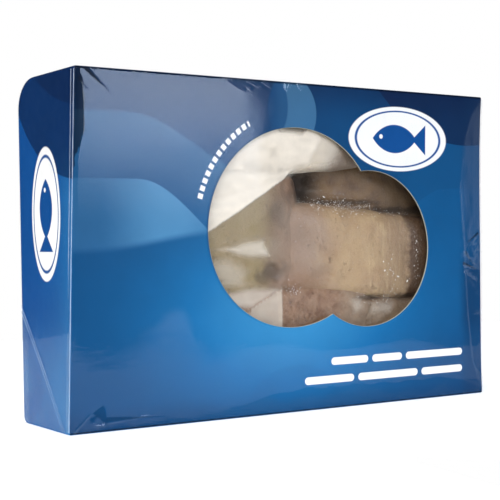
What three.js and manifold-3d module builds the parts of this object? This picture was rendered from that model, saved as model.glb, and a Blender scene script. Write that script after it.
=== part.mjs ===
// Retail pack of frozen, desalted cod loins. A printed folding carton stands on its long side and has
// a window in its front panel, cut as two ellipses that run into each other. A clear film lies across
// the window, and behind it a sealed bag holds the loins, which press their shapes into the bag.
// Millimetres, +Z up, front panel towards -Y, left end towards -X, origin at the middle of the base.
import * as THREE from "three";
import { mergeVertices } from "three/addons/utils/BufferGeometryUtils.js";
import Module from "manifold-3d";

const wasm = await Module();
wasm.setup();

// The carton
const WIDTH = 274;
const HEIGHT = 180;
const DEPTH = 62.5;
const BOARD = 0.8; // thickness of the card with its print and film
const EDGE_RADIUS = 1.1; // of a scored and folded edge
const FRONT_LEAN = 5.4; // the left end gapes: its front edge leans out by this at the top, and in at the base
const BACK_LEAN = 1.6; // and its back edge by this
const RIGHT_LEAN = 0.7; // both edges of the right end
const CRUSH = { depth: 17, height: 16, length: 72 }; // the top back edge is pressed round at the left end
const CHAMFER = { depth: 4, height: 4, length: 50 }; // and the bottom back edge a little

// The window, as seen from the front
const WINDOW = [
  { x: -3.3, z: 101.2, halfWidth: 56.2, halfHeight: 54.3 },
  { x: 48.6, z: 89.2, halfWidth: 44.2, halfHeight: 44.2 },
];
const WINDOW_SEGMENTS = 28; // in each quarter turn

// The clear film across the window
const FILM = 0.4;
const FILM_LAP = 5; // how far it laps onto the card round the window
const CLEARANCE = 0.3; // between pieces that touch

// The bag, whose seams meet in a thin edge halfway between the panels
const BAG = { left: -119, right: 119, bottom: BOARD + CLEARANCE, top: 169 };
const SEAM_Y = 2; // of the seams, from the middle of the carton
const GAP_DEPTH = 24; // how far the film sinks between loins, behind the front panel
const BAG_BACK = 3.5; // gap between the bag's back and the carton's outer back face
const MELD = 2; // width over which the film rounds one loin into the next
const CROWN = 3; // how far a loin's face curves back towards its rim
const SHOULDER = 0.78; // where the face starts to fall away, as a share of the loin's half sizes
const FOOT = 1.1; // and where it reaches the gap
const WINDOW_VIEW = { left: -66, right: 100, bottom: 40, top: 158 }; // the stretch that the window shows
const GRID = 3.2; // spacing of the bag's points there

// The loins in the bag: the middle, half sizes and tilt of each as seen from the front, and how far
// its face lies behind the panel
const LOINS = [
  { x: -38, z: 151, halfLength: 79, halfHeight: 22, tilt: 3, front: 2.6 }, // upper
  { x: 66, z: 123, halfLength: 58, halfHeight: 32, tilt: -2, front: 20 }, // rear, deep in the shade
  { x: 36, z: 84, halfLength: 52, halfHeight: 28, tilt: -2, front: 5 }, // main
  { x: -50, z: 88, halfLength: 44, halfHeight: 27, tilt: 4, front: 12 }, // left
  { x: -25, z: 29, halfLength: 66, halfHeight: 29, tilt: 1, front: 4.6 }, // lower left
  { x: 66, z: 29, halfLength: 42, halfHeight: 25, tilt: 4, front: 7 }, // lower right
];
// Slack film stretched between the upper and the left loin, which has no loin behind it
const WEB = { x: -46, z: 121, halfLength: 52, halfHeight: 15, tilt: 22, front: 8 };

const mix = (a, b, t) => a + (b - a) * t;
const smooth = (t) => {
  const c = Math.min(1, Math.max(0, t));
  return c * c * (3 - 2 * c);
};

// How far a panel leans out at a point: nothing at half height, and the full lean at the top.
function lean(leftLean, x, z) {
  return mix(leftLean, RIGHT_LEAN, x / WIDTH + 0.5) * ((2 * z) / HEIGHT - 1);
}
const frontY = (x, z) => -DEPTH / 2 - lean(FRONT_LEAN, x, z);
const backY = (x, z) => DEPTH / 2 + lean(BACK_LEAN, x, z);

// The radii of an edge of the carton at x, which fade from a pressed corner to a plain fold.
function edgeRadii(dent, x, inset) {
  const share = dent ? 1 - smooth((x + WIDTH / 2) / dent.length) : 0;
  const least = 0.4;
  return {
    y: Math.max(least, mix(EDGE_RADIUS, dent ? dent.depth : 0, share) - inset),
    z: Math.max(least, mix(EDGE_RADIUS, dent ? dent.height : 0, share) - inset),
  };
}

// The outline of the carton across X at a station, moved inwards by inset, anticlockwise from +X.
function section(x, inset) {
  const panelSteps = 5;
  const deep = DEPTH - 2 * inset;
  const low = inset;
  const high = HEIGHT - inset;
  const corners = [
    { y: 0, z: low, inY: 1, inZ: 1, turn: 2, steps: 3, dent: null }, // front, bottom
    { y: deep, z: low, inY: -1, inZ: 1, turn: 3, steps: 4, dent: CHAMFER }, // back, bottom
    { y: deep, z: high, inY: -1, inZ: -1, turn: 0, steps: 9, dent: CRUSH }, // back, top
    { y: 0, z: high, inY: 1, inZ: -1, turn: 1, steps: 3, dent: null }, // front, top
  ];
  const outline = [];
  corners.forEach((corner, i) => {
    const radii = edgeRadii(corner.dent, x, inset);
    for (let k = 0; k <= corner.steps; k++) {
      const angle = (corner.turn + k / corner.steps) * (Math.PI / 2);
      outline.push({
        y: corner.y + radii.y * (corner.inY + Math.cos(angle)),
        z: corner.z + radii.z * (corner.inZ + Math.sin(angle)),
      });
    }
    const next = corners[(i + 1) % corners.length];
    if (next.z === corner.z) return;
    // Points up the back panel, or down the front one, so that it can twist.
    const from = outline.at(-1).z;
    const to = next.z + next.inZ * edgeRadii(next.dent, x, inset).z;
    for (let k = 1; k < panelSteps; k++) {
      outline.push({ y: corner.y, z: mix(from, to, k / panelSteps) });
    }
  });
  return outline.map(({ y, z }) => [
    x,
    mix(frontY(x, z) + inset, backY(x, z) - inset, y / deep),
    z,
  ]);
}

// Stations along the carton: round each end, close together in the pressed stretch, then wider.
function stations(inset) {
  const endSteps = 3;
  const close = 12;
  const wide = 34;
  const half = WIDTH / 2 - inset;
  const radius = Math.max(0.4, EDGE_RADIUS - inset);
  const leftEnd = [];
  for (let k = 0; k <= endSteps; k++) {
    const angle = (k / endSteps) * (Math.PI / 2);
    leftEnd.push({
      x: -half + radius * (1 - Math.cos(angle)),
      inset: inset + radius * (1 - Math.sin(angle)),
    });
  }
  const rightEnd = leftEnd.map((end) => ({ x: -end.x, inset: end.inset })).reverse();
  const middle = [];
  let x = -WIDTH / 2 + close;
  while (x < WIDTH / 2 - close) {
    middle.push({ x, inset });
    x += x < -WIDTH / 2 + CRUSH.length ? close : wide;
  }
  return [...leftEnd, ...middle, ...rightEnd];
}

// A closed mesh from rings of points, each anticlockwise from +X, with a fan at each end.
function loft(rings) {
  const count = rings[0].length;
  const points = rings.flat();
  const faces = [];
  for (let i = 0; i + 1 < rings.length; i++) {
    for (let j = 0; j < count; j++) {
      const next = (j + 1) % count;
      const a = i * count;
      const b = a + count;
      faces.push([a + j, a + next, b + next], [a + j, b + next, b + j]);
    }
  }
  [rings[0], rings.at(-1)].forEach((ring, end) => {
    const middle = ring.reduce((m, p) => m.map((v, k) => v + p[k] / count), [0, 0, 0]);
    const start = end * (rings.length - 1) * count;
    points.push(middle);
    for (let j = 0; j < count; j++) {
      const next = (j + 1) % count;
      const pair = end ? [start + j, start + next] : [start + next, start + j];
      faces.push([points.length - 1, ...pair]);
    }
  });
  const geometry = new THREE.BufferGeometry();
  geometry.setAttribute("position", new THREE.Float32BufferAttribute(points.flat(), 3));
  geometry.setIndex(faces.flat());
  return geometry;
}

// The carton's outer shape, moved inwards by inset, or outwards where inset is below zero.
const shell = (inset) => loft(stations(inset).map((s) => section(s.x, s.inset)));

// A three.js geometry as a solid that can be joined and cut, and back.
function toSolid(geometry) {
  const bare = geometry.clone();
  bare.deleteAttribute("normal");
  bare.deleteAttribute("uv");
  const merged = mergeVertices(bare, 1e-4);
  return new wasm.Manifold(
    new wasm.Mesh({
      numProp: 3,
      vertProperties: merged.attributes.position.array,
      triVerts: new Uint32Array(merged.index.array),
    }),
  );
}
function toGeometry(solid) {
  const mesh = solid.getMesh();
  const geometry = new THREE.BufferGeometry();
  geometry.setAttribute("position", new THREE.BufferAttribute(mesh.vertProperties, 3));
  geometry.setIndex(new THREE.BufferAttribute(mesh.triVerts, 1));
  geometry.computeVertexNormals();
  return geometry;
}

// The window's outline, grown by lap, as a prism that runs through the front panel.
function windowPrism(lap) {
  const reach = DEPTH / 2 + FRONT_LEAN + 10;
  const prisms = WINDOW.map((part) => {
    const shape = new THREE.Shape();
    shape.absellipse(part.x, part.z, part.halfWidth + lap, part.halfHeight + lap, 0, Math.PI * 2);
    const extruded = new THREE.ExtrudeGeometry(shape, {
      depth: reach,
      bevelEnabled: false,
      curveSegments: WINDOW_SEGMENTS,
    });
    return toSolid(extruded.rotateX(Math.PI / 2));
  });
  return prisms.reduce((all, prism) => all.add(prism));
}

function carton() {
  const walls = toSolid(shell(0)).subtract(toSolid(shell(BOARD)));
  return toGeometry(walls.subtract(windowPrism(0)));
}

function windowFilm() {
  const skin = toSolid(shell(-CLEARANCE - FILM)).subtract(toSolid(shell(-CLEARANCE)));
  return toGeometry(skin.intersect(windowPrism(FILM_LAP)));
}

// How far behind the front panel the face of one loin or web lies, deepest outside its outline.
function faceDepth(form, x, z) {
  const tilt = (form.tilt * Math.PI) / 180;
  const along = (x - form.x) * Math.cos(tilt) + (z - form.z) * Math.sin(tilt);
  const across = (z - form.z) * Math.cos(tilt) - (x - form.x) * Math.sin(tilt);
  const reach = ((along / form.halfLength) ** 4 + (across / form.halfHeight) ** 4) ** 0.25;
  const crown = CROWN * Math.min(1, reach) ** 2;
  return mix(form.front + crown, GAP_DEPTH, smooth((reach - SHOULDER) / (FOOT - SHOULDER)));
}

// The depth of the bag's face: the nearest form's, rounded where one meets the next.
function bagDepth(x, z) {
  const nearness = [...LOINS, WEB].map((form) => Math.exp(-faceDepth(form, x, z) / MELD));
  return -MELD * Math.log(nearness.reduce((sum, value) => sum + value));
}

// How full the bag is at a point, from 0 in the seams to 1.
function fullness(x, z) {
  const u = (2 * (x - BAG.left)) / (BAG.right - BAG.left) - 1;
  const v = (2 * (z - BAG.bottom)) / (BAG.top - BAG.bottom) - 1;
  return (Math.max(0, 1 - u ** 10) * Math.max(0, 1 - v ** 12)) ** 0.45;
}
const bagFront = (x, z) => [
  x,
  mix(SEAM_Y, frontY(x, z) + BOARD + bagDepth(x, z), fullness(x, z)),
  z,
];
const bagBack = (x, z) => [x, mix(SEAM_Y, backY(x, z) - BAG_BACK, fullness(x, z)), z];

// Grid lines from low to high: close in the stretch that the window shows, and wider outside it.
function gridLines(low, high, viewLow, viewHigh) {
  const lines = [];
  const closeCount = Math.round((viewHigh - viewLow) / GRID);
  for (let k = 0; k <= closeCount; k++) lines.push(mix(viewLow, viewHigh, k / closeCount));
  for (const [from, to] of [
    [viewLow, low],
    [viewHigh, high],
  ]) {
    const count = Math.round(Math.abs(to - from) / (2.5 * GRID)) + 2;
    for (let k = 1; k <= count; k++) {
      lines.push(mix(from, to, Math.sin(((k / count) * Math.PI) / 2)));
    }
  }
  return lines.sort((a, b) => a - b);
}

// The sealed bag: a front face on a grid, and a back face of rings that shrink from the seam.
function loinBag() {
  const backScales = [0.97, 0.9, 0.75];
  const xs = gridLines(BAG.left, BAG.right, WINDOW_VIEW.left, WINDOW_VIEW.right);
  const zs = gridLines(BAG.bottom, BAG.top, WINDOW_VIEW.bottom, WINDOW_VIEW.top);
  const columns = xs.length;
  const rows = zs.length;
  const points = zs.flatMap((z) => xs.map((x) => bagFront(x, z)));
  const faces = [];
  for (let row = 0; row + 1 < rows; row++) {
    for (let column = 0; column + 1 < columns; column++) {
      const a = row * columns + column;
      faces.push([a, a + 1, a + 1 + columns], [a, a + 1 + columns, a + columns]);
    }
  }

  // The seam, anticlockwise from the front: along the bottom, up, back along the top and down.
  const seam = [];
  for (let column = 0; column < columns; column++) seam.push(column);
  for (let row = 1; row < rows; row++) seam.push((row + 1) * columns - 1);
  for (let column = columns - 2; column >= 0; column--) seam.push((rows - 1) * columns + column);
  for (let row = rows - 2; row > 0; row--) seam.push(row * columns);

  const middleX = (BAG.left + BAG.right) / 2;
  const middleZ = (BAG.bottom + BAG.top) / 2;
  let outer = seam;
  for (const scale of backScales) {
    const inner = outer.map((_, k) => {
      const [x, , z] = points[seam[k]];
      points.push(bagBack(mix(middleX, x, scale), mix(middleZ, z, scale)));
      return points.length - 1;
    });
    outer.forEach((a, k) => {
      const next = (k + 1) % outer.length;
      faces.push([outer[next], a, inner[k]], [outer[next], inner[k], inner[next]]);
    });
    outer = inner;
  }
  points.push(bagBack(middleX, middleZ));
  const middle = points.length - 1;
  outer.forEach((a, k) => faces.push([outer[(k + 1) % outer.length], a, middle]));

  const geometry = new THREE.BufferGeometry();
  geometry.setAttribute("position", new THREE.Float32BufferAttribute(points.flat(), 3));
  geometry.setIndex(faces.flat());
  return geometry;
}

function piece(name, geometry, finish) {
  const mesh = new THREE.Mesh(geometry, new THREE.MeshStandardMaterial(finish));
  mesh.name = name;
  return mesh;
}

const pack = new THREE.Group();
pack.add(piece("carton", carton(), { color: 0x1f63ac, roughness: 0.22, metalness: 0 }));
pack.add(
  piece("window_film", windowFilm(), {
    color: 0xf4f8fa,
    roughness: 0.08,
    metalness: 0,
    transparent: true,
    opacity: 0.25,
  }),
);
pack.add(piece("loin_bag", loinBag(), { color: 0xbba286, roughness: 0.35, metalness: 0 }));
const middle = new THREE.Box3().setFromObject(pack).getCenter(new THREE.Vector3());
pack.position.y = -middle.y; // the front leans out more than the back does

export default pack;
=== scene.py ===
"""Dresses a pack of frozen cod loins: a printed carton wrapped in clear film, with a window onto the
bagged loins. Places are in millimetres in the pack's own frame, -Y towards the window side and +Z up,
and become metres where a mesh, a light or the camera is made."""

import math

import bmesh
import bpy
import numpy as np
from bpy.props import FloatProperty, FloatVectorProperty, PointerProperty
from mathutils import Matrix, Vector, noise


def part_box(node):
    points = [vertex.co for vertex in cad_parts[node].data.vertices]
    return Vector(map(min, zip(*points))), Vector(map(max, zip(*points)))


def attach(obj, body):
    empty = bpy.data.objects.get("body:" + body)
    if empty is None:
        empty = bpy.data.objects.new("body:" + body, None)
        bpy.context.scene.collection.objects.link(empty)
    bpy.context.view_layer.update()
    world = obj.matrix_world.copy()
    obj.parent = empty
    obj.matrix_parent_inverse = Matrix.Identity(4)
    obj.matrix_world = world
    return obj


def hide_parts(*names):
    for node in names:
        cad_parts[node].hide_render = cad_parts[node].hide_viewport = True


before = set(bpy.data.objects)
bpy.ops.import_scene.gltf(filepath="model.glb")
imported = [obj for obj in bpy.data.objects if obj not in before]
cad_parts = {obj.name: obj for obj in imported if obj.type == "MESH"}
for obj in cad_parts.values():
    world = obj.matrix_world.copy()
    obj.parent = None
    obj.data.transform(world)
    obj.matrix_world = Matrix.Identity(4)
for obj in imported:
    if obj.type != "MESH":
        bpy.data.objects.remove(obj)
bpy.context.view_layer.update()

bl_info = {
    "name": "Frozen loin pack",
    "version": (1, 0, 0),
    "blender": (4, 5, 0),
    "location": "View3D > Sidebar > Loin pack",
    "description": "Builds the wrapped carton, its window, and the frozen loins behind it",
    "category": "Add Mesh",
}

MM = 0.001
BODY = "root"

# The frame's own sizes, in millimetres
CARTON_LOW, CARTON_HIGH = (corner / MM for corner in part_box("carton"))
BAG_LOW, BAG_HIGH = (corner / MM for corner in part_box("loin_bag"))
WIDTH = CARTON_HIGH.x - CARTON_LOW.x
HEIGHT = CARTON_HIGH.z - CARTON_LOW.z

# The carton's worn form, as in the frame
DEPTH = 62.5
BOARD = 0.8
EDGE_RADIUS = 1.1
FRONT_LEAN = 5.4
BACK_LEAN = 1.6
RIGHT_LEAN = 0.7
CRUSH = {"depth": 17, "height": 16, "length": 72}
CHAMFER = {"depth": 4, "height": 4, "length": 50}
MID_Y = CARTON_LOW.y + DEPTH / 2 + FRONT_LEAN * (1 - 2 * EDGE_RADIUS / HEIGHT)

# Where the front bends back: heights and places of the crease near its right edge, the width of the
# bend at its left edge, how steep each is, and how deep behind the front they reach
RIGHT_CREASE = ((0, 20, 50, 88, 125, 150, 168, 180), (137, 128, 124, 121.5, 118, 120, 127, 137))
LEFT_BEND = 3.4
RIGHT_SLOPE = 0.085
LEFT_SLOPE = 0.05
BEND_DEPTH = 9

# Width of the border in which a panel's swell dies out, and what keeps the noise of the front and the
# back apart
SWELL_BORDER = 40
SIDES_APART = 90

# The window: the middle and half sizes of each of its two ellipses, and a point inside both
WINDOW = [(-3.3, 101.2, 56.2, 54.3), (48.6, 89.2, 44.2, 44.2)]
WINDOW_MIDDLE = (24.0, 95.0)

TINY = 1e-9  # in place of a zero to divide by


def ink(code):
    """A colour written as on screen, such as "#1a5fa6", in the linear values that Blender uses."""
    parts = [int(code[i : i + 2], 16) / 255 for i in (1, 3, 5)]
    return tuple(p / 12.92 if p <= 0.04045 else ((p + 0.055) / 1.055) ** 2.4 for p in parts)


# ---- Settings


def length_setting(name, description, size, **limits):
    """A size that the sidebar shows, given here in millimetres and kept in metres."""
    limits = {key: value * MM for key, value in limits.items()}
    return FloatProperty(
        name=name, description=description, default=size * MM, subtype="DISTANCE", precision=5, **limits
    )


def number_setting(name, description, value, unit="NONE"):
    """A number of at least 0 that the sidebar shows."""
    return FloatProperty(name=name, description=description, default=value, min=0, unit=unit)


def angle_setting(name, description, degrees):
    """An angle that the sidebar shows, given here in degrees."""
    return FloatProperty(
        name=name, description=description, default=math.radians(degrees), subtype="ANGLE"
    )


def colour_setting(name, description, code):
    """A colour that the sidebar shows."""
    return FloatVectorProperty(
        name=name, description=description, subtype="COLOR", size=3, min=0, max=1, default=ink(code)
    )


class PACK_PG_sizes(bpy.types.PropertyGroup):
    """Sizes of the pieces that dress the frame"""

    card_step: length_setting("Card step", "Spacing of the points on the carton's panels", 2.0, min=0.5)
    panel_bow: length_setting("Panel bow", "How far the panels swell and dip between their edges", 0.45)
    fold_reach: length_setting("Fold reach", "Height of the film's folded corner on an end", 62.0)
    weld_width: length_setting("Weld width", "Width of the welded edge of a fold in the film", 2.4)
    bag_step: length_setting("Bag step", "Spacing of the points on the inner bag", 1.2, min=0.5)
    bag_clearance: length_setting("Bag clearance", "Space between the loins and the bag round them", 0.8)
    crystal: length_setting("Crystal", "Usual size of a frost crystal", 0.32)


class PACK_PG_print(bpy.types.PropertyGroup):
    """Colours of the carton's print"""

    navy: colour_setting("Navy", "Top of the carton", "#091d42")
    deep: colour_setting("Deep blue", "Sides of the front panel", "#0a4474")
    middle: colour_setting("Middle blue", "Between the deep and the bright blue", "#176ba5")
    bright: colour_setting("Bright blue", "Glow low on the front panel", "#378bc1")
    side: colour_setting("Side blue", "The two ends", "#0e4e92")
    pale: colour_setting("Pale blue", "Waves across the print", "#6fb0dc")
    plate: colour_setting("Plate", "Badges and bars on the print", "#fbfbfa")
    card: colour_setting("Card", "Bare card inside the carton and at its cut edges", "#d9d2c4")
    rim: colour_setting("Rim", "Unprinted line round the window", "#aeb3a6")


class PACK_PG_fish(bpy.types.PropertyGroup):
    """Colours of the frozen loins"""

    cream: colour_setting("Cream", "Pale flesh of the upper loin", "#dcd1c1")
    tan: colour_setting("Tan", "Flesh of the main loin", "#b0946f")
    pink: colour_setting("Pink", "Rosy flesh at the ends of the loins", "#7c6552")
    olive: colour_setting("Olive", "Flesh of the left loin", "#968360")
    brown: colour_setting("Brown", "Dark flesh and membrane", "#563f2c")
    # Painted shade in the hollows and gaps between the loins
    dark: colour_setting("Dark", "Hollows between the loins", "#31231a")
    frost: colour_setting("Frost", "Ice and milky film", "#d8cfc3")


class PACK_PG_stage(bpy.types.PropertyGroup):
    """Camera and lights"""

    lens: number_setting("Lens", "Focal length on a 36 mm sensor", 88.0, "CAMERA")
    camera_x: length_setting("Camera X", "Camera's place along the pack", -394.35)
    camera_y: length_setting("Camera Y", "Camera's place in front of the pack", -569.5)
    camera_z: length_setting("Camera Z", "Camera's height", 96.1)
    heading: angle_setting("Heading", "Turn of the view from +Y towards +X", 33.76)
    pitch: angle_setting("Pitch", "Tilt of the view upwards", -0.58)
    roll: angle_setting("Roll", "Turn of the frame", -0.61)
    key_power: number_setting("Key", "Power of the light at the left front", 26.0, "POWER")
    top_power: number_setting("Top", "Power of the overhead light", 11.0, "POWER")
    side_power: number_setting("Side", "Power of the light at the left", 3.0, "POWER")
    glare: number_setting("Glare", "Brightness of the panel that the film mirrors", 13.2)
    wall: number_setting("Wall", "Brightness of the wall at the right", 1.7)
    room: number_setting("Room", "Light from all round", 0.3)
    room_dark: number_setting("Dark room", "Brightness of the room in reflections", 0.04)


# ---- Shapes in numbers


def mix(a, b, t):
    """a where t is 0 and b where it is 1."""
    return a + (b - a) * t


def smooth(t):
    """0 below 0, 1 above 1, and an even rise between."""
    t = np.clip(t, 0, 1)
    return t * t * (3 - 2 * t)


def lean(left, x, z):
    """How far a panel leans out of the carton's box at a point."""
    return mix(left, RIGHT_LEAN, x / WIDTH + 0.5) * (2 * z / HEIGHT - 1)


def front_y(x, z):
    """Where the front panel lies at a point."""
    return MID_Y - DEPTH / 2 - lean(FRONT_LEAN, x, z)


def back_y(x, z):
    """Where the back panel lies at a point."""
    return MID_Y + DEPTH / 2 + lean(BACK_LEAN, x, z)


def spots(x, y=0.0, z=0.0):
    """Places as points, for the noise and for the meshes."""
    return np.stack(np.broadcast_arrays(x, y, z), -1).astype(float)


def wobble(points, scale, seed):
    """Smooth noise from -1 to 1 at each point, with bumps about scale mm wide."""
    seed_step = 17.31
    places = points.reshape(-1, 3) / scale + seed * seed_step
    return np.array([noise.noise(Vector(place)) for place in places]).reshape(points.shape[:-1])


def bumps(points, *layers):
    """Layers of smooth noise added up, each given by its height, the width of its bumps and its seed."""
    return sum(height * wobble(points, width, seed) for height, width, seed in layers)


def bell(distance):
    """1 at 0, fading to nothing over about 2 on both sides."""
    return np.exp(-(distance**2))


def outside_stroke(x, z, start, end, half_width):
    """How far a point lies outside a straight stroke that narrows to nothing at its end, and how far
    behind its start. Works on numbers and on sockets."""
    reach = math.dist(start, end)
    along_x, along_z = (end[0] - start[0]) / reach, (end[1] - start[1]) / reach
    along = (x - start[0]) * along_x + (z - start[1]) * along_z
    across = abs((x - start[0]) * along_z - (z - start[1]) * along_x)
    return across - (along * (-half_width / reach) + half_width), -along


def ridge(x, z, start, end, width):
    """A crease from start to end: 1 on its line, fading over width, and fading out at its end."""
    along = np.subtract(end, start)
    share = np.clip(((x - start[0]) * along[0] + (z - start[1]) * along[1]) / (along @ along), 0, 1)
    distance = np.hypot(x - start[0] - share * along[0], z - start[1] - share * along[1])
    return bell(distance / width) * (1 - share**3)


def soft_polygon(x, z, corners, softness):
    """1 inside a convex polygon and 0 outside, with an edge softness mm wide."""
    corners = np.asarray(corners, float)
    after = np.roll(corners, -1, axis=0)
    area = np.sum(corners[:, 0] * after[:, 1] - after[:, 0] * corners[:, 1])
    outside = np.full(np.shape(x), -np.inf)
    for (x0, z0), (x1, z1) in zip(corners, after):
        side = ((x1 - x0) * (z - z0) - (z1 - z0) * (x - x0)) / math.hypot(x1 - x0, z1 - z0)
        outside = np.maximum(outside, -side * np.sign(area))
    return smooth(0.5 - outside / softness)


def press_corner(y, z, share, dent, top):
    """Points near a back edge, moved into the round form of its pressed end."""
    from_back = DEPTH / 2 - y
    from_end = HEIGHT - z if top else z
    p = 1 - np.clip(from_back / dent["depth"], 0, 1)
    q = 1 - np.clip(from_end / dent["height"], 0, 1)
    pressed = (p > 0) & (q > 0)
    pull = np.where(pressed, np.maximum(p, q) / np.maximum(np.hypot(p, q), TINY), 1)
    new_y = DEPTH / 2 - dent["depth"] * (1 - p * pull)
    new_end = dent["height"] * (1 - q * pull)
    new_z = HEIGHT - new_end if top else new_end
    return np.where(pressed, mix(y, new_y, share), y), np.where(pressed, mix(z, new_z, share), z)


def panel_swell(x, y, z):
    """How far the card bows out of true at a point of the sharp box, for the front and back panels."""
    sizes = bpy.context.scene.pack_sizes
    points = spots(x, np.sign(y) * SIDES_APART, z)
    beside, above = WIDTH / 2 - np.abs(x), np.minimum(z, HEIGHT - z)
    free = smooth(beside / SWELL_BORDER) * smooth(above / SWELL_BORDER)
    return sizes.panel_bow / MM * free * bumps(points, (1, 95, 1), (0.5, 42, 2))


def past_crease(x, z):
    """How far a point lies to the right of the front's curved crease."""
    return x - np.interp(z, *RIGHT_CREASE)


def edge_bend(x, z):
    """How far the front bends back beside its upright edges, beyond a curved crease at the right."""
    width = past_crease(WIDTH / 2, z)
    share = np.clip((x - WIDTH / 2 + width) / np.maximum(width, TINY), 0, 1)
    left = np.clip((LEFT_BEND - WIDTH / 2 - x) / LEFT_BEND, 0, 1)
    return RIGHT_SLOPE * width * (0.55 * share + 0.45 * share**2) + LEFT_SLOPE * LEFT_BEND * left**2


def on_carton(points, out=0.0):
    """Points of a sharp box of the carton's size, moved onto the worn carton, out mm outside its card."""
    low = np.array([-WIDTH / 2, -DEPTH / 2, 0])
    high = np.array([WIDTH / 2, DEPTH / 2, HEIGHT])
    inner = np.clip(points, low + EDGE_RADIUS, high - EDGE_RADIUS)
    away = points - inner
    away /= np.maximum(np.linalg.norm(away, axis=-1, keepdims=True), TINY)
    x, y, z = np.moveaxis(inner + away * EDGE_RADIUS, -1, 0)
    y = y + away[..., 1] * panel_swell(x, y, z)
    y = y + edge_bend(x, z) * np.clip(1 - (y + DEPTH / 2 - EDGE_RADIUS) / BEND_DEPTH, 0, 1)
    for dent, top in ((CRUSH, True), (CHAMFER, False)):
        share = 1 - smooth((x + WIDTH / 2) / dent["length"])
        y, z = press_corner(y, z, share, dent, top)
    leaning = mix(-lean(FRONT_LEAN, x, z), lean(BACK_LEAN, x, z), y / DEPTH + 0.5)
    return spots(x, y + MID_Y + leaning, z) + away * np.asarray(out)[..., None]


def window_reach(angle):
    """How far the window's outline lies from its middle in a direction."""
    reaches = []
    for x, z, half_width, half_height in WINDOW:
        dx, dz = (WINDOW_MIDDLE[0] - x) / half_width, (WINDOW_MIDDLE[1] - z) / half_height
        ux, uz = np.cos(angle) / half_width, np.sin(angle) / half_height
        a, b, c = ux * ux + uz * uz, dx * ux + dz * uz, dx * dx + dz * dz - 1
        reaches.append((-b + np.sqrt(b * b - a * c)) / a)
    return np.maximum(*reaches)


# ---- Building of meshes


class Skin:
    """Points and faces of one mesh while it is put together, in millimetres."""

    def __init__(self):
        self.points = []
        self.faces = []
        self.slots = []
        self.count = 0

    def grid(self, points, slot=0, keep=None):
        """Adds rows and columns of points with a face between each four. The faces look along the
        cross product of the columns' direction with the rows'. keep says which faces to make."""
        rows, columns = points.shape[:2]
        index = self.count + np.arange(rows * columns).reshape(rows, columns)
        faces = np.stack([index[:-1, :-1], index[:-1, 1:], index[1:, 1:], index[1:, :-1]], -1)
        faces = faces.reshape(-1, 4) if keep is None else faces[keep]
        self.points.append(points.reshape(-1, 3))
        self.faces.append(faces)
        self.slots.append(np.full(len(faces), slot))
        self.count += rows * columns

    def piece(self, name, materials, attributes=None):
        """The mesh as an object, its doubled points joined. attributes gives named values of points."""
        mesh = bpy.data.meshes.new(name)
        points = np.concatenate(self.points)
        faces = np.concatenate(self.faces)
        mesh.from_pydata(points * MM, [], faces.tolist())
        mesh.polygons.foreach_set("material_index", np.concatenate(self.slots).astype(np.int32))
        for label, values in (attributes or {}).items():
            layer = mesh.attributes.new(label, "FLOAT", "POINT")
            layer.data.foreach_set("value", np.asarray(values, np.float32).ravel())
        return finish_piece(name, mesh, materials)


def finish_piece(name, mesh, materials, join=True):
    """Turns a mesh into a smooth-shaded piece with its materials."""
    bm = bmesh.new()
    bm.from_mesh(mesh)
    if join:
        bmesh.ops.remove_doubles(bm, verts=bm.verts, dist=1e-6)
        bmesh.ops.dissolve_degenerate(bm, edges=bm.edges, dist=1e-7)
    loose = [vertex for vertex in bm.verts if not vertex.link_faces]
    bmesh.ops.delete(bm, geom=loose, context="VERTS")
    for face in bm.faces:
        face.smooth = True
    bm.to_mesh(mesh)
    bm.free()
    for material in materials:
        mesh.materials.append(material)
    piece = bpy.data.objects.new(name, mesh)
    bpy.context.scene.collection.objects.link(piece)
    return piece


def thicken(piece, thickness, **settings):
    """Gives a sheet its thickness, inwards from its face."""
    solidify = piece.modifiers.new("Thickness", "SOLIDIFY")
    solidify.thickness = thickness * MM
    solidify.offset = -1
    for key, value in settings.items():
        setattr(solidify, key, value)
    evaluated = piece.evaluated_get(bpy.context.evaluated_depsgraph_get())
    mesh = bpy.data.meshes.new_from_object(evaluated)
    piece.modifiers.clear()
    piece.data = mesh


# Places of the grid lines in the rounded rim of a side
RIM = np.array([0, 0.35, 0.7]) * EDGE_RADIUS


def with_rims(low, high, places):
    """Places of grid lines, with those of the rims at both ends added."""
    return np.concatenate([low + RIM, places, high - RIM[::-1]])


def lines(low, high, step):
    """Places of grid lines from low to high, close together in both rims."""
    count = max(2, round((high - low - 2 * EDGE_RADIUS) / step))
    return with_rims(low, high, np.linspace(low + EDGE_RADIUS, high - EDGE_RADIUS, count + 1))


def plane(rows, columns, place):
    """A grid of points, where place gives x, y and z from a row's and a column's value."""
    r, c = np.meshgrid(rows, columns, indexing="ij")
    return spots(*place(r, c))


# ---- Shader nodes


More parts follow.
